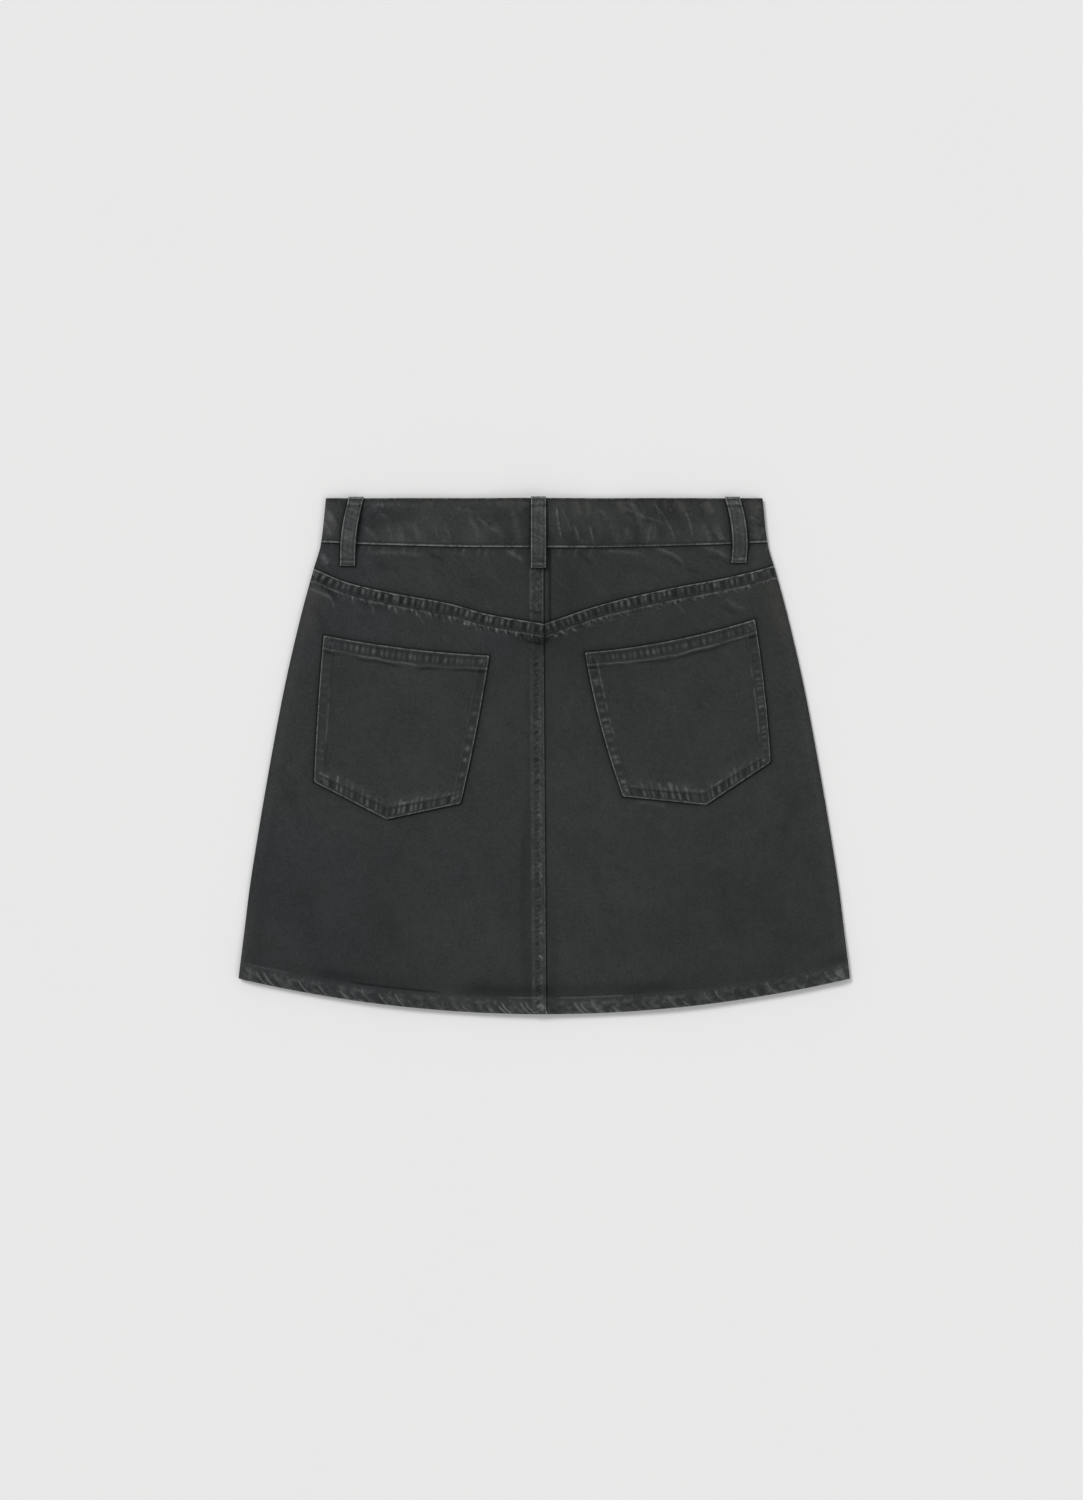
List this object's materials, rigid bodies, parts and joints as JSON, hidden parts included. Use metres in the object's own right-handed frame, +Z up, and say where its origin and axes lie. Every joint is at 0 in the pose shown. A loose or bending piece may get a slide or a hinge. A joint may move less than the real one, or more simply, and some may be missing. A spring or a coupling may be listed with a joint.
{
  "type": "denim skirt",
  "caption": "Short A-line denim skirt laid flat, back upwards, with a V-shaped yoke, patch pockets, a waistband with belt loops, and a buttoned zip closure underneath.",
  "frame": {"origin": "on the surface the skirt lies on, under the middle of its outline", "axes": "+X across the skirt, to the right with the back seen from above and the waist away from the viewer; +Y from the hem to the waist; +Z up"},
  "size_m": [0.4892, 0.4136, 0.0155],
  "materials": {
    "denim": "washed black cotton twill, matte",
    "metal": "dulled antique metal",
    "zip_tape": "black woven tape"
  },
  "bodies": {
    "root": {"back_left": "denim", "back_right": "denim", "yoke_left": "denim", "yoke_right": "denim", "waistband_back": "denim", "waistband_front_left": "denim", "waistband_front_right": "denim", "front_left": "denim", "front_right": "denim", "pocket_left": "denim", "pocket_right": "denim", "loop_back_left": "denim", "loop_back_centre": "denim", "loop_back_right": "denim", "loop_front_left": "denim", "loop_front_right": "denim", "button": "metal", "zip_tape": "zip_tape", "zip_slider": "metal", "zip_pull_tab": "metal"}
  },
  "joints": []
}
